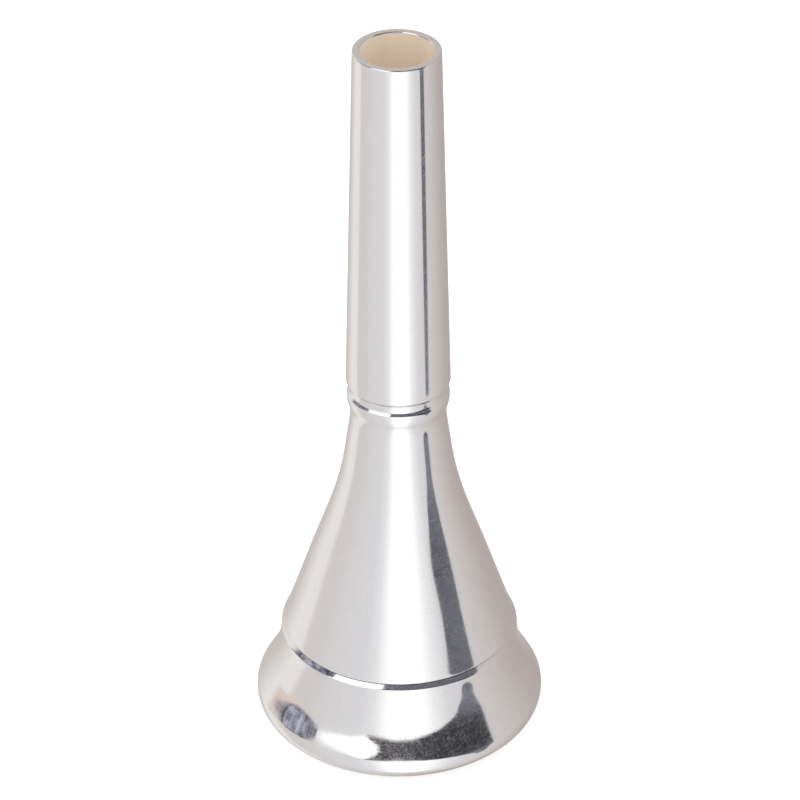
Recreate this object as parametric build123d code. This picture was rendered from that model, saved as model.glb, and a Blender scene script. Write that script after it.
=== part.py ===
from build123d import *
from math import ceil, cos, floor, radians, sin, tan
import os

# A horn mouthpiece that unscrews into three turned pieces: a rim, a cup and a shank.
# It stands on the face of its rim. +Z runs up the bore, from the rim to the end of
# the shank, and z = 0 is the plane that the rim stands on. All sizes are millimetres.

# Overall
TOTAL_LENGTH = 64.8
RIM_DIAMETER = 25.0
RIM_INNER_DIAMETER = 17.5
RIM_CREST_RADIUS = 10.0
RIM_WIDEST_Z = 1.9
SHANK_END_DIAMETER = 7.2
SHANK_TAPER = 1 / 19.212  # change of diameter along the length
THROAT_DIAMETER = 4.62
THROAT_Z = 31.0  # the throat is straight from here up to the backbore
BACKBORE_Z = 34.0
END_BORE_DIAMETER = 5.94

# Points that the three long curves pass through between their ends, as (radius, height)
RIM_FLARE = ((12.46, 2.35), (12.3, 2.7), (11.66, 3.8), (11.03, 5.0), (10.43, 7.0))
CUP_WALL = ((8.67, 13.0), (7.32, 17.0), (5.92, 21.0), (4.85, 25.0), (4.24, 29.0), (4.07, 30.6))
FUNNEL_WALL = ((7.4, 10.0), (5.45, 17.5), (3.55, 24.5))

# Where the three pieces part, and the gap left between seated faces
RIM_SEAM_Z = 9.0
NECK_SEAM_Z = 33.5
SEAT_GAP = 0.03

# Rim joint: thread on the cup's tenon, inside the rim
RIM_PITCH = 0.75
TENON_CREST_RADIUS = 9.3
TENON_ROOT_RADIUS = 8.9
TENON_NECK_RADIUS = 8.8
TENON_END_Z = 4.25
RIM_SEAT_Z = 4.2
RIM_THREAD_RADIUS = 9.0
RIM_THREAD_PHASE_Z = 4.55  # a height at which both helices cross +X
RIM_RELIEF_RADIUS = 9.5
RIM_RELIEF_TOP_Z = 4.8
RIM_COUNTERBORE_RADIUS = 9.6
RIM_COUNTERBORE_Z = 7.9
RIM_SHOULDER_RADIUS = 10.27
RIM_SHOULDER_Z = 8.62  # where the flare ends and the shoulder turns in
RIM_SHOULDER_ROUND = 0.15
RIM_SHOULDER_TILT = 50.0  # how far the bevelled shoulder faces up, in degrees
FUNNEL_STOCK = 0.6  # metal left inside the rim's bite until the funnel is cut
CUP_EDGE_RADIUS = 9.79
CUP_EDGE_ROUND = 0.18
TENON_THREAD_TOP_Z = 7.8
CONE_TILT = 20.0  # lean of the cup's wall just above the joint, in degrees
CONE_FLARE = 0.37  # gain of radius per height where the cup's wall meets the bead

# Neck joint: thread on the shank's spigot, inside the cup
NECK_PITCH = 0.5
SPIGOT_CREST_RADIUS = 3.25
SPIGOT_ROOT_RADIUS = 2.95
SPIGOT_NECK_RADIUS = 2.84
SPIGOT_END_Z = 28.75
NECK_SEAT_Z = 28.7
NECK_THREAD_RADIUS = 3.04
NECK_THREAD_PHASE_Z = 28.95
NECK_RELIEF_RADIUS = 3.4
NECK_RELIEF_TOP_Z = 29.2
NECK_COUNTERBORE_RADIUS = 3.46
NECK_COUNTERBORE_Z = 32.55
SPIGOT_THREAD_TOP_Z = 32.5

# The groove under the shank and the bead below it
GROOVE_RADIUS = 4.1
GROOVE_TOP_Z = 33.94
COVE_CENTRE_Z = 33.0
COVE_RADIUS = 0.3
BEAD_TOP_ROUND = 0.4
BEAD_TOP_TILT = 48.0  # the steepest slope between the cove and the bead, in degrees
BEAD_LOWER_ROUND_Z = 32.3
BEAD_CORNER = (4.18, 31.45)

# Seal rings, a loose fit in their recesses
RIM_RING_RADIUS = 9.2
RIM_RING_SECTION = 0.34
RIM_RING_Z = 8.46
NECK_RING_RADIUS = 3.15
NECK_RING_SECTION = 0.25
NECK_RING_Z = 33.03

# Threads: trapezoid ridges on the male part, and the same with clearance cut in the female
RIDGE_ROOT_SHARE = 0.56  # ridge width at its root, as a share of the pitch
RIDGE_CREST_SHARE = 0.24
RADIAL_CLEARANCE = 0.1
FLANK_CLEARANCE = 0.09
CUTTER_OVERRUN_SHARE = 0.3  # how far a thread's cutter stands out of what it cuts
THREAD_BEVEL_SHARE = 0.7  # the bevel at a thread's ends, as a share of its depth
THREAD_BITE = 0.1  # how far a threaded ring is sunk in its body, so that the two join

# The broken edges of the turned pieces
END_ROUND = 0.12
SEAM_BEVEL = 0.04


def turned(outline):
    """A solid of revolution about Z, from a closed outline of (radius, height) edges."""
    return revolve(Plane.XZ * make_face(outline), axis=Axis.Z)


def run(*points):
    """Straight edges from point to point."""
    return Polyline(*points).edges()


def arc(centre, radius, start, end):
    """A circular arc between two angles, in degrees from +radius towards +height."""
    return CenterArc(centre, radius, start, end - start)


def plain_ring(inner, outer, bottom, top, bevel=0.0):
    """A ring, with its outer corners bevelled at 45 degrees if asked."""
    corners = [(inner, bottom), (outer - bevel, bottom), (outer - bevel, top), (inner, top)]
    if bevel:
        corners[2:2] = [(outer, bottom + bevel), (outer, top - bevel)]
    return turned(run(*corners, corners[0]))


def cut_helix(ring, pitch, inner, outer, inner_width, outer_width, phase, bottom, top):
    """Cuts a right-hand helical groove of trapezoid section, one turn at a time."""
    path = Helix(pitch, pitch, inner)
    section = Plane(origin=path @ 0, x_dir=(1, 0, 0), z_dir=path % 0) * make_face(
        run(
            (0, -inner_width / 2),
            (outer - inner, -outer_width / 2),
            (outer - inner, outer_width / 2),
            (0, inner_width / 2),
            (0, -inner_width / 2),
        )
    )
    one_turn = sweep(section, path=path, is_frenet=True)
    first = floor((bottom - phase) / pitch) - 1
    last = ceil((top - phase) / pitch) + 1
    for turn in range(first, last + 1):
        ring = ring - Pos(0, 0, phase + turn * pitch) * one_turn
    return ring


def flank_slope(pitch, root, crest):
    """How much each flank of a ridge leans in, per unit of radius."""
    return (RIDGE_ROOT_SHARE - RIDGE_CREST_SHARE) * pitch / 2 / (crest - root)


def male_thread(pitch, root, crest, phase, inner, bottom, top):
    """A ring with ridges outside. The phase is a height at which a ridge crosses +X."""
    outer = crest + CUTTER_OVERRUN_SHARE * pitch
    root_width = (1 - RIDGE_ROOT_SHARE) * pitch
    outer_width = root_width + 2 * flank_slope(pitch, root, crest) * (outer - root)
    ring = plain_ring(inner, crest, bottom, top, bevel=THREAD_BEVEL_SHARE * (crest - root))
    return cut_helix(
        ring, pitch, root, outer, root_width, outer_width, phase - pitch / 2, bottom, top
    )


def female_thread(pitch, root, crest, phase, bore, wall, bottom, top):
    """A ring with grooves inside, which are the male ridges grown by the clearances."""
    slope = flank_slope(pitch, root, crest)
    inner = bore - CUTTER_OVERRUN_SHARE * pitch
    outer = crest + RADIAL_CLEARANCE
    inner_width = RIDGE_ROOT_SHARE * pitch - 2 * slope * (inner - root) + 2 * FLANK_CLEARANCE
    outer_width = inner_width - 2 * slope * (outer - inner)
    ring = plain_ring(bore, wall, bottom, top)
    return cut_helix(ring, pitch, inner, outer, inner_width, outer_width, phase, bottom, top)


def seal_ring(radius, section, height):
    """A rubber O-ring."""
    return Pos(0, 0, height) * Torus(radius, section)


def funnel():
    """The inside of the cup, from the rim's bite down to the throat, as one curve."""
    return Spline(
        (RIM_INNER_DIAMETER / 2, RIM_WIDEST_Z),
        *FUNNEL_WALL,
        (THROAT_DIAMETER / 2, THROAT_Z),
        tangents=((0, 1), (0, 1)),
    )


def funnel_core():
    """The air inside the cup and the rim, as a solid to take out of both."""
    return turned(
        funnel().edges()
        + run(
            (THROAT_DIAMETER / 2, THROAT_Z),
            (0, THROAT_Z),
            (0, RIM_WIDEST_Z),
            (RIM_INNER_DIAMETER / 2, RIM_WIDEST_Z),
        )
    )


def rim():
    """The rounded rim, with the female thread that takes the cup."""
    widest = RIM_DIAMETER / 2
    bite = RIM_INNER_DIAMETER / 2
    stock = bite - FUNNEL_STOCK
    crest_centre = (RIM_CREST_RADIUS, RIM_WIDEST_Z)
    outer_lip = EllipticalCenterArc(
        crest_centre, widest - RIM_CREST_RADIUS, RIM_WIDEST_Z, start_angle=270, arc_size=90
    )
    inner_lip = EllipticalCenterArc(
        crest_centre, RIM_CREST_RADIUS - bite, RIM_WIDEST_Z, start_angle=180, arc_size=90
    )
    flare = Spline(
        (widest, RIM_WIDEST_Z),
        *RIM_FLARE,
        (RIM_SHOULDER_RADIUS, RIM_SHOULDER_Z),
        tangents=((0, 1), (0, 1)),
    )
    shoulder = arc(
        (RIM_SHOULDER_RADIUS - RIM_SHOULDER_ROUND, RIM_SHOULDER_Z),
        RIM_SHOULDER_ROUND,
        0,
        RIM_SHOULDER_TILT,
    )
    bevel_foot = shoulder @ 1
    bevel_run = (RIM_SEAM_Z - bevel_foot.Y) * tan(radians(RIM_SHOULDER_TILT))
    inside = run(
        bevel_foot,
        (bevel_foot.X - bevel_run, RIM_SEAM_Z),
        (RIM_COUNTERBORE_RADIUS, RIM_SEAM_Z),
        (RIM_COUNTERBORE_RADIUS, RIM_COUNTERBORE_Z),
        (RIM_RELIEF_RADIUS, RIM_COUNTERBORE_Z),
        (RIM_RELIEF_RADIUS, RIM_SEAT_Z),
        (stock, RIM_SEAT_Z),
        (stock, RIM_WIDEST_Z),
        (bite, RIM_WIDEST_Z),
    )
    blank = turned(outer_lip.edges() + flare.edges() + shoulder.edges() + inside + inner_lip.edges())
    thread = female_thread(
        RIM_PITCH,
        TENON_ROOT_RADIUS,
        TENON_CREST_RADIUS,
        RIM_THREAD_PHASE_Z,
        bore=RIM_THREAD_RADIUS,
        wall=RIM_RELIEF_RADIUS + THREAD_BITE,
        bottom=RIM_RELIEF_TOP_Z,
        top=RIM_COUNTERBORE_Z,
    )
    return blank - funnel_core() + thread


def cup():
    """The cone from the rim joint up to the bead, with a tenon below and a socket above."""
    seat = RIM_SEAM_Z + SEAT_GAP
    edge_centre = (CUP_EDGE_RADIUS, seat + CUP_EDGE_ROUND)
    edge = arc(edge_centre, CUP_EDGE_ROUND, -90, CONE_TILT)
    cone = Spline(
        edge @ 1,
        *CUP_WALL,
        BEAD_CORNER,
        tangents=((-sin(radians(CONE_TILT)), cos(radians(CONE_TILT))), (CONE_FLARE, 1)),
    )

    cove_centre = (GROOVE_RADIUS + COVE_RADIUS, COVE_CENTRE_Z)
    cove = arc(cove_centre, COVE_RADIUS, 180 + BEAD_TOP_TILT, 180)
    bead_centre = (
        cove_centre[0] - (COVE_RADIUS + BEAD_TOP_ROUND) * cos(radians(BEAD_TOP_TILT)),
        cove_centre[1] - (COVE_RADIUS + BEAD_TOP_ROUND) * sin(radians(BEAD_TOP_TILT)),
    )
    bead_top = arc(bead_centre, BEAD_TOP_ROUND, 0, BEAD_TOP_TILT)
    bead_face = run((bead_centre[0] + BEAD_TOP_ROUND, BEAD_LOWER_ROUND_Z), bead_top @ 0)
    bead_lower = TangentArc(
        (bead_centre[0] + BEAD_TOP_ROUND, BEAD_LOWER_ROUND_Z), BEAD_CORNER, tangent=(0, -1)
    )

    socket = run(
        (GROOVE_RADIUS, COVE_CENTRE_Z),
        (GROOVE_RADIUS, NECK_SEAM_Z - SEAM_BEVEL),
        (GROOVE_RADIUS - SEAM_BEVEL, NECK_SEAM_Z),
        (NECK_COUNTERBORE_RADIUS, NECK_SEAM_Z),
        (NECK_COUNTERBORE_RADIUS, NECK_COUNTERBORE_Z),
        (NECK_RELIEF_RADIUS, NECK_COUNTERBORE_Z),
        (NECK_RELIEF_RADIUS, NECK_SEAT_Z),
        (0, NECK_SEAT_Z),
    )
    tenon = run(
        (0, NECK_SEAT_Z),
        (0, TENON_END_Z),
        (TENON_NECK_RADIUS, TENON_END_Z),
        (TENON_NECK_RADIUS, seat),
        edge @ 0,
    )
    blank = turned(
        edge.edges()
        + cone.edges()
        + bead_lower.edges()
        + bead_face
        + bead_top.edges()
        + cove.edges()
        + socket
        + tenon
    )
    tenon_thread = male_thread(
        RIM_PITCH,
        TENON_ROOT_RADIUS,
        TENON_CREST_RADIUS,
        RIM_THREAD_PHASE_Z,
        inner=TENON_NECK_RADIUS - THREAD_BITE,
        bottom=TENON_END_Z,
        top=TENON_THREAD_TOP_Z,
    )
    socket_thread = female_thread(
        NECK_PITCH,
        SPIGOT_ROOT_RADIUS,
        SPIGOT_CREST_RADIUS,
        NECK_THREAD_PHASE_Z,
        bore=NECK_THREAD_RADIUS,
        wall=NECK_RELIEF_RADIUS + THREAD_BITE,
        bottom=NECK_RELIEF_TOP_Z,
        top=NECK_COUNTERBORE_Z,
    )
    return blank - funnel_core() + tenon_thread + socket_thread


def shank():
    """The tapered shank that enters the horn, with a threaded spigot below."""
    seat = NECK_SEAM_Z + SEAT_GAP
    end_radius = SHANK_END_DIAMETER / 2
    throat = THROAT_DIAMETER / 2
    end_bore = END_BORE_DIAMETER / 2
    taper_foot = (end_radius + SHANK_TAPER / 2 * (TOTAL_LENGTH - GROOVE_TOP_Z), GROOVE_TOP_Z)
    foot_round = taper_foot[0] - GROOVE_RADIUS
    foot = arc((GROOVE_RADIUS, GROOVE_TOP_Z), foot_round, -90, 0)
    outer_edge = arc((end_radius - END_ROUND, TOTAL_LENGTH - END_ROUND), END_ROUND, 0, 90)
    inner_edge = arc((end_bore + END_ROUND, TOTAL_LENGTH - END_ROUND), END_ROUND, 90, 180)
    taper = run(taper_foot, outer_edge @ 0)
    end_face = run(outer_edge @ 1, inner_edge @ 0)
    inside = run(
        inner_edge @ 1,
        (throat, BACKBORE_Z),
        (throat, THROAT_Z),
        (0, THROAT_Z),
        (0, SPIGOT_END_Z),
        (SPIGOT_NECK_RADIUS, SPIGOT_END_Z),
        (SPIGOT_NECK_RADIUS, seat),
        (GROOVE_RADIUS - SEAM_BEVEL, seat),
        (GROOVE_RADIUS, seat + SEAM_BEVEL),
        foot @ 0,
    )
    blank = turned(
        foot.edges()
        + taper
        + outer_edge.edges()
        + end_face
        + inner_edge.edges()
        + inside
    )
    thread = male_thread(
        NECK_PITCH,
        SPIGOT_ROOT_RADIUS,
        SPIGOT_CREST_RADIUS,
        NECK_THREAD_PHASE_Z,
        inner=SPIGOT_NECK_RADIUS - THREAD_BITE,
        bottom=SPIGOT_END_Z,
        top=SPIGOT_THREAD_TOP_Z,
    )
    return blank - funnel_core() + thread


parts = {
    "rim": rim(),
    "cup": cup(),
    "shank": shank(),
    "rim_seal_ring": seal_ring(RIM_RING_RADIUS, RIM_RING_SECTION, RIM_RING_Z),
    "neck_seal_ring": seal_ring(NECK_RING_RADIUS, NECK_RING_SECTION, NECK_RING_Z),
}

os.makedirs("parts", exist_ok=True)
for name, shape in parts.items():
    export_step(shape, f"parts/{name}.step")
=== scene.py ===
from math import acos, ceil, cos, degrees, floor, pi, radians, sin, tan

import bmesh
import bpy
import numpy as np
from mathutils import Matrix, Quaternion, Vector


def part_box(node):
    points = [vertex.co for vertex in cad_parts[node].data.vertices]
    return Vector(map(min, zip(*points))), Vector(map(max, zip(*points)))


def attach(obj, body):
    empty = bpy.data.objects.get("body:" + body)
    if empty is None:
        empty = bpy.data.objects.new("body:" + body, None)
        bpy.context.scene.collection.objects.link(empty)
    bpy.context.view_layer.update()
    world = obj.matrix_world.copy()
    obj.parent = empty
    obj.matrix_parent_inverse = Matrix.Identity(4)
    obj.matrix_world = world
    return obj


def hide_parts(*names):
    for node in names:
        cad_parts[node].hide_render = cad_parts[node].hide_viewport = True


# A silver-plated horn mouthpiece in three screwed pieces, standing on its rim. The outlines
# are in millimetres, as (radius, height) points, and are turned about Z into metre meshes.

MM = 0.001
AROUND = 192  # columns of faces round each turned piece
CREASE_DEG = 28.0  # edges sharper than this stay sharp
MERGE_DISTANCE = 1e-7  # metres
SHORTEST_EDGE = 1e-8  # metres

# Overall
RIM_CREST_RADIUS = 10.0
RIM_INNER_RADIUS = 8.75
RIM_WIDEST_Z = 1.9
RIM_FLARE = ((12.46, 2.35), (12.3, 2.7), (11.66, 3.8), (11.03, 5.0), (10.43, 7.0))
CUP_WALL = ((8.67, 13.0), (7.32, 17.0), (5.92, 21.0), (4.85, 25.0), (4.24, 29.0), (4.07, 30.6))
FUNNEL_WALL = ((7.4, 10.0), (5.45, 17.5), (3.55, 24.5))
THROAT_RADIUS = 2.31
THROAT_Z = 31.0
BACKBORE_Z = 34.0
END_BORE_RADIUS = 2.97
END_RADIUS = 3.6
END_ROUND = 0.12
SEAM_BEVEL = 0.04

# Rim joint
RIM_PITCH = 0.75
RIM_SEAM_Z = 9.0
SEAT_GAP = 0.03
RIM_SEAT_Z = 4.2
RIM_SHOULDER_RADIUS = 10.27
RIM_SHOULDER_Z = 8.62
RIM_SHOULDER_ROUND = 0.15
RIM_SHOULDER_TILT = 50.0
RIM_COUNTERBORE = (9.6, 7.9)
RIM_RELIEF = (9.5, 4.8)
RIM_THREAD_RADIUS = 9.0
RIM_THREAD_PHASE_Z = 4.55
TENON_ROOT_RADIUS = 8.9
TENON_CREST_RADIUS = 9.3
TENON_NECK_RADIUS = 8.8
TENON_END_Z = 4.25
TENON_THREAD_TOP_Z = 7.8
CUP_EDGE_RADIUS = 9.79
CUP_EDGE_ROUND = 0.18
CONE_TILT = 20.0
CONE_FLARE = 0.37

# Neck joint
NECK_PITCH = 0.5
NECK_SEAM_Z = 33.5
NECK_SEAT_Z = 28.7
NECK_COUNTERBORE = (3.46, 32.55)
NECK_RELIEF = (3.4, 29.2)
NECK_THREAD_RADIUS = 3.04
NECK_THREAD_PHASE_Z = 28.95
SPIGOT_ROOT_RADIUS = 2.95
SPIGOT_CREST_RADIUS = 3.25
SPIGOT_NECK_RADIUS = 2.84
SPIGOT_END_Z = 28.75
SPIGOT_THREAD_TOP_Z = 32.5

# Groove and bead at the neck
GROOVE_RADIUS = 4.1
GROOVE_TOP_Z = 33.94
COVE_CENTRE_Z = 33.0
COVE_RADIUS = 0.3
BEAD_TOP_ROUND = 0.4
BEAD_TOP_TILT = 48.0
BEAD_LOWER_ROUND_Z = 32.3
BEAD_CORNER = (4.18, 31.45)

# Thread form, as shares of the pitch and clearances in millimetres
RIDGE_ROOT_SHARE = 0.56
RIDGE_CREST_SHARE = 0.24
RADIAL_CLEARANCE = 0.1
FLANK_CLEARANCE = 0.09
THREAD_BEVEL_SHARE = 0.7


# ---------------------------------------------------------------- outlines

def line(start, end, step):
    """Points from start to end, both included, no further apart than step."""
    start, end = np.array(start, float), np.array(end, float)
    pieces = ceil(np.linalg.norm(end - start) / step)
    return [tuple(start + (end - start) * i / pieces) for i in range(pieces + 1)]


def arc(centre, radii, start, end, step=7.5):
    """Points on an elliptical arc between two angles, in degrees from +radius to +height."""
    pieces = max(2, ceil(abs(end - start) / step))
    angles = [radians(start + (end - start) * i / pieces) for i in range(pieces + 1)]
    return [(centre[0] + radii[0] * cos(a), centre[1] + radii[1] * sin(a)) for a in angles]


def spline(points, start_tangent, end_tangent, step=0.3):
    """Points on the cubic spline through the given points, with given end directions."""
    p = np.array(points, float)
    gaps = np.linalg.norm(np.diff(p, axis=0), axis=1)
    count = len(p)
    system = np.eye(count)
    right = np.zeros((count, 2))
    right[0] = np.array(start_tangent) / np.linalg.norm(start_tangent)
    right[-1] = np.array(end_tangent) / np.linalg.norm(end_tangent)
    for i in range(1, count - 1):
        system[i, i - 1:i + 2] = gaps[i], 2 * (gaps[i - 1] + gaps[i]), gaps[i - 1]
        before = gaps[i] / gaps[i - 1] * (p[i] - p[i - 1])
        after = gaps[i - 1] / gaps[i] * (p[i + 1] - p[i])
        right[i] = 3 * (before + after)
    slopes = np.linalg.solve(system, right)
    found = []
    for i, gap in enumerate(gaps):
        pieces = ceil(gap / step)
        for t in np.arange(pieces) / pieces:
            found.append(
                (2 * t**3 - 3 * t**2 + 1) * p[i]
                + (t**3 - 2 * t**2 + t) * gap * slopes[i]
                + (3 * t**2 - 2 * t**3) * p[i + 1]
                + (t**3 - t**2) * gap * slopes[i + 1]
            )
    return [tuple(q) for q in found] + [tuple(p[-1])]


def funnel(low, high):
    """The inside of the cup between two heights, from the lower to the upper."""
    wall = spline(
        [(RIM_INNER_RADIUS, RIM_WIDEST_Z), *FUNNEL_WALL, (THROAT_RADIUS, THROAT_Z)],
        (0, 1),
        (0, 1),
    )
    radii, heights = zip(*wall)
    inside = [low, *(z for z in heights if low < z < high), high]
    return [(float(np.interp(z, heights, radii)), z) for z in inside]


# ---------------------------------------------------------------- turning

def rings(points):
    """A turned stretch: one row of (radius, height) per point, the same all round."""
    return [np.tile(np.array(p, float), (AROUND + 1, 1)) for p in points]


def thread_rows(pitch, root, crest, low, high, clearance, phase, bottom, top, bevel):
    """Rows that follow a helical thread between two heights, the ends cut square."""
    half_root = RIDGE_ROOT_SHARE * pitch / 2 + clearance
    slope = (RIDGE_ROOT_SHARE - RIDGE_CREST_SHARE) * pitch / 2 / (crest - root)
    crest_edge = half_root - slope * (high - root)
    root_edge = half_root - slope * (low - root)
    offsets = [-root_edge, -crest_edge, 0.0, crest_edge, root_edge, pitch / 2]
    climb = pitch * np.arange(AROUND + 1) / AROUND
    rows = []
    first = floor((bottom - pitch - phase) / pitch)
    last = ceil((top - phase) / pitch)
    for turn in range(first, last + 1):
        for offset in offsets:
            z = np.clip(phase + turn * pitch + offset + climb, bottom, top)
            across = (z - phase - climb + pitch / 2) % pitch - pitch / 2
            r = np.clip(root + (half_root - np.abs(across)) / slope, low, high)
            r = np.minimum(r, high - bevel + np.minimum(z - bottom, top - z))
            rows.append(np.stack([np.maximum(r, low), z], axis=1))
    return rows


def male_thread(pitch, root, crest, phase, bottom, top):
    """Ridges on a spigot, with bevelled ends, from the bottom up."""
    bevel = THREAD_BEVEL_SHARE * (crest - root)
    return thread_rows(pitch, root, crest, root, crest, 0.0, phase, bottom, top, bevel)


def female_thread(pitch, root, crest, bore, phase, bottom, top):
    """Grooves in a bore that clear the ridges, from the top down."""
    high = crest + RADIAL_CLEARANCE
    rows = thread_rows(
        pitch, root, crest, bore, high, FLANK_CLEARANCE, phase, bottom, top, bevel=0.0
    )
    return rows[::-1]


def turned(name, rows):
    """A closed mesh object from rows of (radius, height), turned about Z."""
    angles = 2 * pi * np.arange(AROUND + 1) / AROUND
    bm = bmesh.new()
    grid = []
    for row in [*rows, rows[0]]:
        co = np.stack([row[:, 0] * np.cos(angles), row[:, 0] * np.sin(angles), row[:, 1]], axis=1)
        grid.append([bm.verts.new(p * MM) for p in co])
    for below, above in zip(grid, grid[1:]):
        for j in range(AROUND):
            bm.faces.new((below[j], below[j + 1], above[j + 1], above[j]))
    bmesh.ops.remove_doubles(bm, verts=bm.verts, dist=MERGE_DISTANCE)
    bmesh.ops.dissolve_degenerate(bm, edges=bm.edges, dist=SHORTEST_EDGE)
    bmesh.ops.recalc_face_normals(bm, faces=bm.faces)
    mesh = bpy.data.meshes.new(name)
    bm.to_mesh(mesh)
    bm.free()
    mesh.shade_smooth()
    mesh.set_sharp_from_angle(angle=radians(CREASE_DEG))
    piece = bpy.data.objects.new(name, mesh)
    bpy.context.scene.collection.objects.link(piece)
    return piece


# ---------------------------------------------------------------- the pieces

def rim_piece():
    """The rounded rim, flaring down from the seam, with the female thread inside."""
    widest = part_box("rim")[1].x / MM
    crest = (RIM_CREST_RADIUS, RIM_WIDEST_Z)
    flare = spline(
        [(widest, RIM_WIDEST_Z), *RIM_FLARE, (RIM_SHOULDER_RADIUS, RIM_SHOULDER_Z)],
        (0, 1),
        (0, 1),
        step=0.06,
    )
    shoulder = arc(
        (RIM_SHOULDER_RADIUS - RIM_SHOULDER_ROUND, RIM_SHOULDER_Z),
        (RIM_SHOULDER_ROUND, RIM_SHOULDER_ROUND),
        0,
        RIM_SHOULDER_TILT,
    )
    bevel_run = (RIM_SEAM_Z - shoulder[-1][1]) * tan(radians(RIM_SHOULDER_TILT))
    outside = [
        *arc(crest, (widest - RIM_CREST_RADIUS, RIM_WIDEST_Z), -90, 0, step=3),
        *flare[1:],
        *shoulder[1:],
        (shoulder[-1][0] - bevel_run, RIM_SEAM_Z),
        (RIM_COUNTERBORE[0], RIM_SEAM_Z),
        RIM_COUNTERBORE,
    ]
    thread = female_thread(
        RIM_PITCH,
        TENON_ROOT_RADIUS,
        TENON_CREST_RADIUS,
        RIM_THREAD_RADIUS,
        RIM_THREAD_PHASE_Z,
        RIM_RELIEF[1],
        RIM_COUNTERBORE[1],
    )
    inside = [
        RIM_RELIEF,
        (RIM_RELIEF[0], RIM_SEAT_Z),
        *funnel(RIM_WIDEST_Z, RIM_SEAT_Z)[::-1],
        *arc(crest, (RIM_CREST_RADIUS - RIM_INNER_RADIUS, RIM_WIDEST_Z), -180, -90, step=3)[1:],
    ]
    return turned("rim_shell", rings(outside) + thread + rings(inside))


def cup_piece():
    """The cone from the rim joint to the bead, with the tenon below and socket above."""
    seat = RIM_SEAM_Z + SEAT_GAP
    edge = arc(
        (CUP_EDGE_RADIUS, seat + CUP_EDGE_ROUND), (CUP_EDGE_ROUND, CUP_EDGE_ROUND), -90, CONE_TILT
    )
    lean = radians(CONE_TILT)
    wall = spline([edge[-1], *CUP_WALL, BEAD_CORNER], (-sin(lean), cos(lean)), (CONE_FLARE, 1))
    cove_centre = (GROOVE_RADIUS + COVE_RADIUS, COVE_CENTRE_Z)
    reach = COVE_RADIUS + BEAD_TOP_ROUND
    tilt = radians(BEAD_TOP_TILT)
    bead_centre = (cove_centre[0] - reach * cos(tilt), cove_centre[1] - reach * sin(tilt))
    face_radius = bead_centre[0] + BEAD_TOP_ROUND
    lower = bead_lower(face_radius)
    outside = [
        *edge,
        *wall[1:],
        *lower[1:],
        *arc(bead_centre, (BEAD_TOP_ROUND, BEAD_TOP_ROUND), 0, BEAD_TOP_TILT),
        *arc(cove_centre, (COVE_RADIUS, COVE_RADIUS), 180 + BEAD_TOP_TILT, 180)[1:],
        (GROOVE_RADIUS, NECK_SEAM_Z - SEAM_BEVEL),
        (GROOVE_RADIUS - SEAM_BEVEL, NECK_SEAM_Z),
        (NECK_COUNTERBORE[0], NECK_SEAM_Z),
        NECK_COUNTERBORE,
    ]
    socket = female_thread(
        NECK_PITCH,
        SPIGOT_ROOT_RADIUS,
        SPIGOT_CREST_RADIUS,
        NECK_THREAD_RADIUS,
        NECK_THREAD_PHASE_Z,
        NECK_RELIEF[1],
        NECK_COUNTERBORE[1],
    )
    inside = [
        NECK_RELIEF,
        (NECK_RELIEF[0], NECK_SEAT_Z),
        *funnel(TENON_END_Z, NECK_SEAT_Z)[::-1],
    ]
    tenon = male_thread(
        RIM_PITCH,
        TENON_ROOT_RADIUS,
        TENON_CREST_RADIUS,
        RIM_THREAD_PHASE_Z,
        TENON_END_Z,
        TENON_THREAD_TOP_Z,
    )
    neck = [(TENON_NECK_RADIUS, TENON_THREAD_TOP_Z), (TENON_NECK_RADIUS, seat)]
    return turned("cup_shell", rings(outside) + socket + rings(inside) + tenon + rings(neck))


def bead_lower(face_radius):
    """The round under the bead: an arc from the cup's wall that ends upright on the face."""
    rise = BEAD_LOWER_ROUND_Z - BEAD_CORNER[1]
    reach = face_radius - BEAD_CORNER[0]
    radius = (rise**2 + reach**2) / (2 * reach)
    start = degrees(acos((radius - reach) / radius))
    centre = (face_radius - radius, BEAD_LOWER_ROUND_Z)
    return arc(centre, (radius, radius), -start, 0)


def shank_piece():
    """The tapered shank with its foot, end and backbore, and the threaded spigot below."""
    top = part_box("shank")[1].z / MM
    foot_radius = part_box("shank")[1].x / MM
    seat = NECK_SEAM_Z + SEAT_GAP
    foot_round = foot_radius - GROOVE_RADIUS
    ends = (END_ROUND, END_ROUND)
    spigot = male_thread(
        NECK_PITCH,
        SPIGOT_ROOT_RADIUS,
        SPIGOT_CREST_RADIUS,
        NECK_THREAD_PHASE_Z,
        SPIGOT_END_Z,
        SPIGOT_THREAD_TOP_Z,
    )
    outside = [
        (SPIGOT_NECK_RADIUS, SPIGOT_THREAD_TOP_Z),
        (SPIGOT_NECK_RADIUS, seat),
        (GROOVE_RADIUS - SEAM_BEVEL, seat),
        (GROOVE_RADIUS, seat + SEAM_BEVEL),
        *arc((GROOVE_RADIUS, GROOVE_TOP_Z), (foot_round, foot_round), -90, 0),
        *line((foot_radius, GROOVE_TOP_Z), (END_RADIUS, top - END_ROUND), step=0.8)[1:],
        *arc((END_RADIUS - END_ROUND, top - END_ROUND), ends, 0, 90)[1:],
        *arc((END_BORE_RADIUS + END_ROUND, top - END_ROUND), ends, 90, 180),
        *line((END_BORE_RADIUS, top - END_ROUND), (THROAT_RADIUS, BACKBORE_Z), step=0.8)[1:],
        *funnel(SPIGOT_END_Z, THROAT_Z)[::-1],
    ]
    return turned("shank_shell", spigot + rings(outside))


# ---------------------------------------------------------------- node helper

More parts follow.
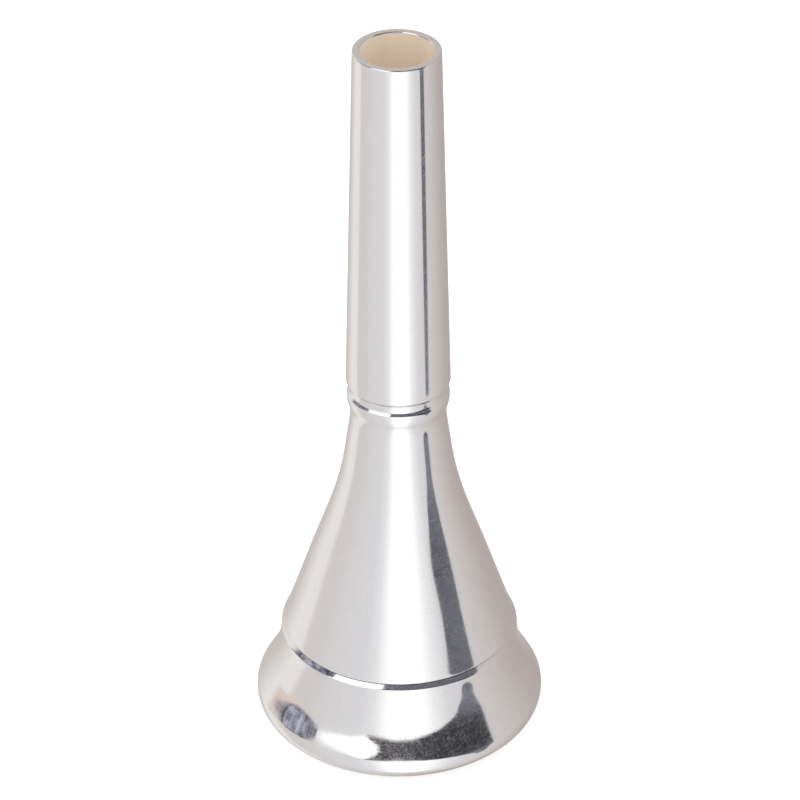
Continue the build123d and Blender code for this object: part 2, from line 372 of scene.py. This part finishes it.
class Graph:
    """A node tree, with short calls that make a node and give its output back."""

    def __init__(self, tree):
        self.tree = tree
        tree.nodes.clear()

    def node(self, kind, inputs=None, **settings):
        made = self.tree.nodes.new(kind)
        for name, value in settings.items():
            setattr(made, name, value)
        for name, value in (inputs or {}).items():
            self.put(made.inputs[name], value)
        return made

    def put(self, socket, value):
        if isinstance(value, bpy.types.NodeSocket):
            self.tree.links.new(value, socket)
        else:
            socket.default_value = value

    def math(self, operation, *values):
        return self.node(
            "ShaderNodeMath", dict(enumerate(values)), operation=operation
        ).outputs[0]

    def rise(self, value, low, high):
        """0 below low and 1 above high, with a smooth rise between."""
        inputs = {"Value": value, "From Min": low, "From Max": high}
        made = self.node("ShaderNodeMapRange", inputs, interpolation_type="SMOOTHSTEP")
        return made.outputs["Result"]

    def past(self, lower, higher, blur):
        """1 where lower is below higher and 0 where it isn't, softened over the blur."""
        return self.rise(self.math("SUBTRACT", higher, lower), -blur, blur)

    def both(self, *masks):
        found = masks[0]
        for mask in masks[1:]:
            found = self.math("MULTIPLY", found, mask)
        return found

    def mix(self, factor, below, above, blend="MIX"):
        made = self.node("ShaderNodeMix", data_type="RGBA", blend_type=blend)
        self.put(made.inputs[0], factor)
        self.put(made.inputs[6], colour(below))
        self.put(made.inputs[7], colour(above))
        return made.outputs[2]

    def ramp(self, value, stops):
        """A colour from stops of (position, colour), with positions from 0 to 1."""
        made = self.node("ShaderNodeValToRGB", {"Fac": value})
        elements = made.color_ramp.elements
        while len(elements) < len(stops):
            elements.new(0.5)
        for element, (position, shade) in zip(elements, stops):
            element.position = position
            element.color = colour(shade)
        return made.outputs["Color"]

    def noise(self, vector, scale, detail=2.0, roughness=0.5, distortion=0.0):
        inputs = {
            "Vector": vector,
            "Scale": scale,
            "Detail": detail,
            "Roughness": roughness,
            "Distortion": distortion,
        }
        return self.node("ShaderNodeTexNoise", inputs).outputs["Fac"]

    def stretched(self, vector, scale):
        """The vector with each of its three parts multiplied by its own scale."""
        inputs = {0: vector, 1: scale}
        return self.node("ShaderNodeVectorMath", inputs, operation="MULTIPLY").outputs[0]


def colour(value):
    """An RGBA colour from a socket, one grey level or three levels."""
    if isinstance(value, bpy.types.NodeSocket):
        return value
    if isinstance(value, (int, float)):
        value = (value, value, value)
    return (*value[:3], 1.0)


# ---------------------------------------------------------------- light

# The wall of the light tent round the horizon, as (azimuth, colour). All angles are in
# degrees. Azimuth 0 is on the camera's side, and goes up to the right as seen from there.
TENT_WALL = (
    (-180, (0.54, 0.50, 0.48)),
    (-150, (0.60, 0.56, 0.54)),
    (-122, (0.81, 0.79, 0.78)),
    (-105, (0.80, 0.77, 0.77)),
    (-99, (0.65, 0.61, 0.60)),
    (-85, (0.64, 0.61, 0.61)),
    (-50, (0.69, 0.68, 0.70)),
    (-33, (0.70, 0.69, 0.72)),
    (-22, (0.80, 0.79, 0.82)),
    (-8, (1.15, 1.15, 1.15)),
    (19, (1.15, 1.15, 1.15)),
    (31, (0.88, 0.87, 0.89)),
    (43, (0.71, 0.70, 0.73)),
    (60, (0.65, 0.63, 0.65)),
    (80, (0.61, 0.58, 0.57)),
    (120, (0.48, 0.43, 0.42)),
    (150, (0.44, 0.39, 0.38)),
    (180, (0.54, 0.50, 0.48)),
)

# The top of the wall, as (azimuth, elevation). Above it, from the left, are a dim gap,
# a softbox and a dark opening, which reaches far down on the right.
WALL_TOP = (
    (-117, -3.0),
    (-106, 0.5),
    (-90, 1.5),
    (-78, 7.0),
    (-67, 13.5),
    (-52, 15.5),
    (-40, 17.0),
    (-25, 16.0),
    (-3, 19.4),
    (10, 18.8),
    (23, 15.5),
    (33, 11.0),
    (43, 2.0),
    (48.5, -4.0),
    (52, -12.0),
    (57, -19.0),
    (59.5, -28.0),
    (62, -31.0),
    (64, -34.0),
)
WALL_TOP_BLUR = 1.7
# Painted shadow: the steepest downward directions, which the silver mirrors in place of the floor
# near the object, are darkened to stand for the object's shadow on that floor.
FLOOR_SHADOW_TOP = -66.0
FLOOR_SHADOW_BLUR = 8.0
FLOOR_SHADOW_GREY = 0.62
CEILING_FOOT = 69.0
CEILING_BLUR = 7.0
CEILING_GREY = (0.20, 0.20, 0.205)

# The gap at the left, and the warm stripe on the wall under it
GAP_LEFT = -113.0
GAP_BLUR = 3.0
STRIPE_LEFT = -117.0
STRIPE_RIGHT = -88.0
STRIPE_DEPTH = 5.5
STRIPE_BLURS = (4.0, 3.0, 1.5)  # left, right and lower edge
STRIPE_COLOUR = (0.72, 0.61, 0.55)

# The softbox, with edges that lean, as (elevation, azimuth)
SOFTBOX_LEFT = ((13, -67), (50, -75.5), (75, -88))
SOFTBOX_RIGHT = ((17, -27), (20.5, -21), (21.7, -14), (26, -20.5))
SOFTBOX_TOP = 73.0
SOFTBOX_BLURS = (1.0, 1.5, 3.0)  # left, right and upper edge
SOFTBOX_LEVEL = 1.3

# The opening, with its right edge and its grey from the foot up
OPENING_RIGHT = ((-33, 69), (-28, 71), (-20, 69), (-4, 72), (11, 73), (35, 76), (60, 120))
OPENING_FOOT = -33.0
OPENING_BLUR = 1.5
OPENING_GREY = (
    (-33, 0.25),
    (-28, 0.12),
    (-22, 0.19),
    (-4, 0.13),
    (3, 0.07),
    (17, 0.032),
    (35, 0.12),
    (60, 0.13),
)
OPENING_TINT = (0.97, 0.98, 1.18)

# The mottle of the room: stops of its noise for the gap, and its haze in the opening
ROOM_STRETCH = (9.0, 9.0, 24.0)
ROOM_STOPS = (
    (0.40, (0.05, 0.05, 0.07)),
    (0.54, (0.24, 0.24, 0.31)),
    (0.68, (0.60, 0.61, 0.70)),
)
HAZE_RIGHT = -5.0
HAZE_BLUR = 24.0
HAZE_RISE = (0.42, 0.60)
HAZE_COLOUR = (0.13, 0.10, 0.11)


def by_angle(g, angle, rows):
    """A colour that follows an angle, from rows of (angle, colour), within 180 degrees."""
    turn = g.math("DIVIDE", g.math("ADD", angle, 180.0), 360.0)
    return g.ramp(turn, [((at + 180.0) / 360.0, shade) for at, shade in rows])


def along(g, angle, rows):
    """An angle that follows another one, from rows of (angle, value), both within 180."""
    turn = by_angle(g, angle, [(at, (value + 180.0) / 360.0) for at, value in rows])
    return g.math("SUBTRACT", g.math("MULTIPLY", turn, 360.0), 180.0)


def wall(g, azimuth, elevation, above):
    """The tent's wall, darker towards the ground as a painted shadow of the object on the floor,
    with the stripe near its top.
    """
    shade = by_angle(g, azimuth, TENT_WALL)
    # painted shadow of the object on the floor, as the silver mirrors it
    ground = g.past(elevation, FLOOR_SHADOW_TOP, FLOOR_SHADOW_BLUR)
    shade = g.mix(ground, shade, FLOOR_SHADOW_GREY, blend="DARKEN")
    left_blur, right_blur, lower_blur = STRIPE_BLURS
    stripe = g.both(
        g.past(STRIPE_LEFT, azimuth, left_blur),
        g.past(azimuth, STRIPE_RIGHT, right_blur),
        g.past(-STRIPE_DEPTH, above, lower_blur),
    )
    return g.mix(stripe, shade, STRIPE_COLOUR)


def opening_shade(g, azimuth, elevation, room):
    """The dark inside of the opening, with the room faintly seen near its left edge."""
    grey = by_angle(g, elevation, OPENING_GREY)
    tinted = g.mix(1.0, grey, OPENING_TINT, blend="MULTIPLY")
    haze = g.both(g.past(azimuth, HAZE_RIGHT, HAZE_BLUR), g.rise(room, *HAZE_RISE))
    return g.mix(haze, tinted, HAZE_COLOUR, blend="ADD")


def tent(g):
    """The light tent's colour in each direction: wall, opening, ceiling, gap and softbox."""
    direction = g.node("ShaderNodeTexCoord").outputs["Generated"]
    parts = g.node("ShaderNodeSeparateXYZ", {0: direction})
    x, y, z = parts.outputs
    azimuth = g.math("DEGREES", g.math("ARCTAN2", x, g.math("MULTIPLY", y, -1.0)))
    elevation = g.math("DEGREES", g.math("ARCSINE", z))
    room_place = g.stretched(direction, ROOM_STRETCH)
    room = g.noise(room_place, scale=1.0, detail=4.0, roughness=0.6, distortion=1.0)

    above = g.math("SUBTRACT", elevation, along(g, azimuth, WALL_TOP))
    front = g.both(g.past(0.0, above, WALL_TOP_BLUR), g.past(GAP_LEFT, azimuth, GAP_BLUR))
    shade = wall(g, azimuth, elevation, above)

    opening = g.both(
        front,
        g.past(OPENING_FOOT, elevation, OPENING_BLUR),
        g.past(azimuth, along(g, elevation, OPENING_RIGHT), OPENING_BLUR),
    )
    shade = g.mix(opening, shade, opening_shade(g, azimuth, elevation, room))
    shade = g.mix(g.past(CEILING_FOOT, elevation, CEILING_BLUR), shade, CEILING_GREY)

    left = along(g, elevation, SOFTBOX_LEFT)
    left_blur, right_blur, upper_blur = SOFTBOX_BLURS
    gap = g.both(front, g.past(azimuth, left, left_blur))
    shade = g.mix(gap, shade, g.ramp(room, ROOM_STOPS))
    softbox = g.both(
        front,
        g.past(left, azimuth, left_blur),
        g.past(azimuth, along(g, elevation, SOFTBOX_RIGHT), right_blur),
        g.past(elevation, SOFTBOX_TOP, upper_blur),
    )
    return g.mix(softbox, shade, SOFTBOX_LEVEL)


def studio_light():
    """Tent light for the reflections, and an even white for all else."""
    world = bpy.data.worlds.new("tent")
    world.use_nodes = True
    g = Graph(world.node_tree)
    path = g.node("ShaderNodeLightPath").outputs
    even = g.math("MAXIMUM", path["Is Camera Ray"], path["Is Diffuse Ray"])
    background = g.node("ShaderNodeBackground", {"Color": g.mix(even, tent(g), 1.0)})
    output = g.node("ShaderNodeOutputWorld")
    g.put(output.inputs["Surface"], background.outputs[0])
    bpy.context.scene.world = world


def pale_floor():
    """A plain pale floor, which the silver doesn't mirror: the tent below stands for it."""
    size = 3.0
    bpy.ops.mesh.primitive_plane_add(size=size)
    plane = bpy.context.object
    plane.name = "floor"
    plane.visible_glossy = False
    material = bpy.data.materials.new("floor_paper")
    material.use_nodes = True
    g = Graph(material.node_tree)
    paper = g.node("ShaderNodeBsdfPrincipled", {"Base Color": colour(0.9), "Roughness": 0.9})
    g.put(paper.inputs["Emission Color"], colour(1.0))
    g.put(paper.inputs["Emission Strength"], 0.5)
    output = g.node("ShaderNodeOutputMaterial")
    g.put(output.inputs["Surface"], paper.outputs[0])
    plane.data.materials.append(material)


def camera():
    """The camera, looking down at the object from in front."""
    height = 31.54 * MM
    distance = 320.0 * MM
    elevation = radians(33.5)
    roll = radians(-0.23)
    data = bpy.data.cameras.new("camera")
    data.sensor_width = 36.0
    data.lens = 171.5
    data.shift_x = 0.0021
    made = bpy.data.objects.new("camera", data)
    back = Vector((0.0, -cos(elevation), sin(elevation)))
    made.location = Vector((0.0, 0.0, height)) + back * distance
    made.rotation_mode = "QUATERNION"
    made.rotation_quaternion = (-back).to_track_quat("-Z", "Y") @ Quaternion((0, 0, 1), roll)
    bpy.context.scene.collection.objects.link(made)
    bpy.context.scene.camera = made


# ---------------------------------------------------------------- materials

SILVER_TINT = (0.955, 0.95, 0.94)
CLOUD_DIMMING = 0.985
POLISH = 0.05
WEB_STRETCH = (1.0, 1.0, 1.5)
WEB_SCALE = 2600.0
MARK_WIDTH = 0.03
MARK_BLUR = 0.02
MARK_ROUGHNESS = 0.10
MARK_DULLNESS = 0.12
LINE_STRETCH = (60.0, 60.0, 9000.0)
LINE_ROUGHNESS = 0.02
BRASS_SHADES = ((0.81, 0.71, 0.60), (0.77, 0.66, 0.54))
BRASS_STAIN = (0.75, 0.645, 0.545)
RUBBER_SHADES = ((0.012, 0.012, 0.013), (0.035, 0.034, 0.033))
RELIEF = 0.02 * MM


def silver_plate():
    """Polished silver plate, with fine turning lines and a web of fine rubbed marks."""
    material = bpy.data.materials.new("silver_plate")
    material.use_nodes = True
    g = Graph(material.node_tree)
    place = g.node("ShaderNodeTexCoord").outputs["Object"]
    web = g.noise(g.stretched(place, WEB_STRETCH), WEB_SCALE, distortion=1.5)
    off_line = g.math("ABSOLUTE", g.math("SUBTRACT", web, 0.5))
    marks = g.past(off_line, MARK_WIDTH, MARK_BLUR)
    lines = g.noise(g.stretched(place, LINE_STRETCH), scale=1.0, detail=1.0)
    rough = g.math("MULTIPLY_ADD", marks, MARK_ROUGHNESS, POLISH)
    rough = g.math("MULTIPLY_ADD", g.rise(lines, 0.5, 0.8), LINE_ROUGHNESS, rough)
    cloud = g.noise(place, scale=160.0)
    shade = g.mix(cloud, SILVER_TINT, [CLOUD_DIMMING * part for part in SILVER_TINT])
    bump = g.node("ShaderNodeBump", {"Strength": 0.04, "Distance": RELIEF, "Height": lines})
    metal = g.node(
        "ShaderNodeBsdfPrincipled",
        {
            "Base Color": shade,
            "Metallic": g.math("MULTIPLY_ADD", marks, -MARK_DULLNESS, 1.0),
            "Roughness": rough,
            "Normal": bump.outputs[0],
        },
    )
    output = g.node("ShaderNodeOutputMaterial")
    g.put(output.inputs["Surface"], metal.outputs[0])
    return material


def bore_brass_and_painted_glow():
    """The dull warm inside of the backbore, with faint streaks along it, and a faint painted glow
    that stands in for light reaching into the bore.
    """
    material = bpy.data.materials.new("bore_brass_and_painted_glow")
    material.use_nodes = True
    g = Graph(material.node_tree)
    place = g.node("ShaderNodeTexCoord").outputs["Object"]
    along_bore = g.stretched(place, (1100.0, 1100.0, 60.0))
    streaks = g.noise(along_bore, scale=1.0, detail=3.0, roughness=0.6)
    stain = g.noise(place, scale=500.0, detail=3.0)
    shade = g.mix(streaks, *BRASS_SHADES)
    shade = g.mix(g.rise(stain, 0.5, 0.8), shade, BRASS_STAIN)
    bump = g.node("ShaderNodeBump", {"Strength": 0.1, "Distance": RELIEF, "Height": streaks})
    # Painted light: the emission lights the bore's own colour from within, in place of light that
    # reaches into the bore.
    surface = g.node(
        "ShaderNodeBsdfPrincipled",
        {
            "Base Color": shade,
            "Roughness": 0.45,
            "Normal": bump.outputs[0],
            "Emission Color": shade,
            "Emission Strength": 0.1,
        },
    )
    output = g.node("ShaderNodeOutputMaterial")
    g.put(output.inputs["Surface"], surface.outputs[0])
    return material


def line_bore(piece, material):
    """Gives the second material to the faces of the backbore, which face the axis."""
    piece.data.materials.append(material)
    for face in piece.data.polygons:
        place = face.center
        inside = place.xy.length < END_BORE_RADIUS * MM and face.normal.xy.dot(place.xy) < 0
        if inside and place.z > THROAT_Z * MM:
            face.material_index = 1


def rubber():
    """Soft black rubber with a faint bloom."""
    material = bpy.data.materials.new("seal_rubber")
    material.use_nodes = True
    g = Graph(material.node_tree)
    place = g.node("ShaderNodeTexCoord").outputs["Object"]
    bloom = g.noise(place, scale=2500.0, detail=4.0, roughness=0.6)
    shade = g.mix(bloom, *RUBBER_SHADES)
    bump = g.node("ShaderNodeBump", {"Strength": 0.2, "Distance": RELIEF, "Height": bloom})
    surface = g.node(
        "ShaderNodeBsdfPrincipled",
        {"Base Color": shade, "Roughness": 0.55, "Normal": bump.outputs[0]},
    )
    output = g.node("ShaderNodeOutputMaterial")
    g.put(output.inputs["Surface"], surface.outputs[0])
    return material


# ---------------------------------------------------------------- the scene

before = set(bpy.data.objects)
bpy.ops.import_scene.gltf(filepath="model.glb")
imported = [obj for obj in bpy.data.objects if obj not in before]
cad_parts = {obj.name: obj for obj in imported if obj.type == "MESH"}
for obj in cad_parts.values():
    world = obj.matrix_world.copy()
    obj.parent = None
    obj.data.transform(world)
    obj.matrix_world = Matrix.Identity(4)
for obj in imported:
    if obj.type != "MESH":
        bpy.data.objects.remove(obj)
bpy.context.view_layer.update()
bpy.context.scene.view_settings.view_transform = "Standard"

camera()
studio_light()
pale_floor()

finish = silver_plate()
for make, node in ((rim_piece, "rim"), (cup_piece, "cup"), (shank_piece, "shank")):
    piece = make()
    piece.data.materials.append(finish)
    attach(piece, node)
    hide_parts(node)
    if node == "shank":
        line_bore(piece, bore_brass_and_painted_glow())

black = rubber()
for node in ("rim_seal_ring", "neck_seal_ring"):
    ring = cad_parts[node]
    ring.data.materials.clear()
    ring.data.materials.append(black)
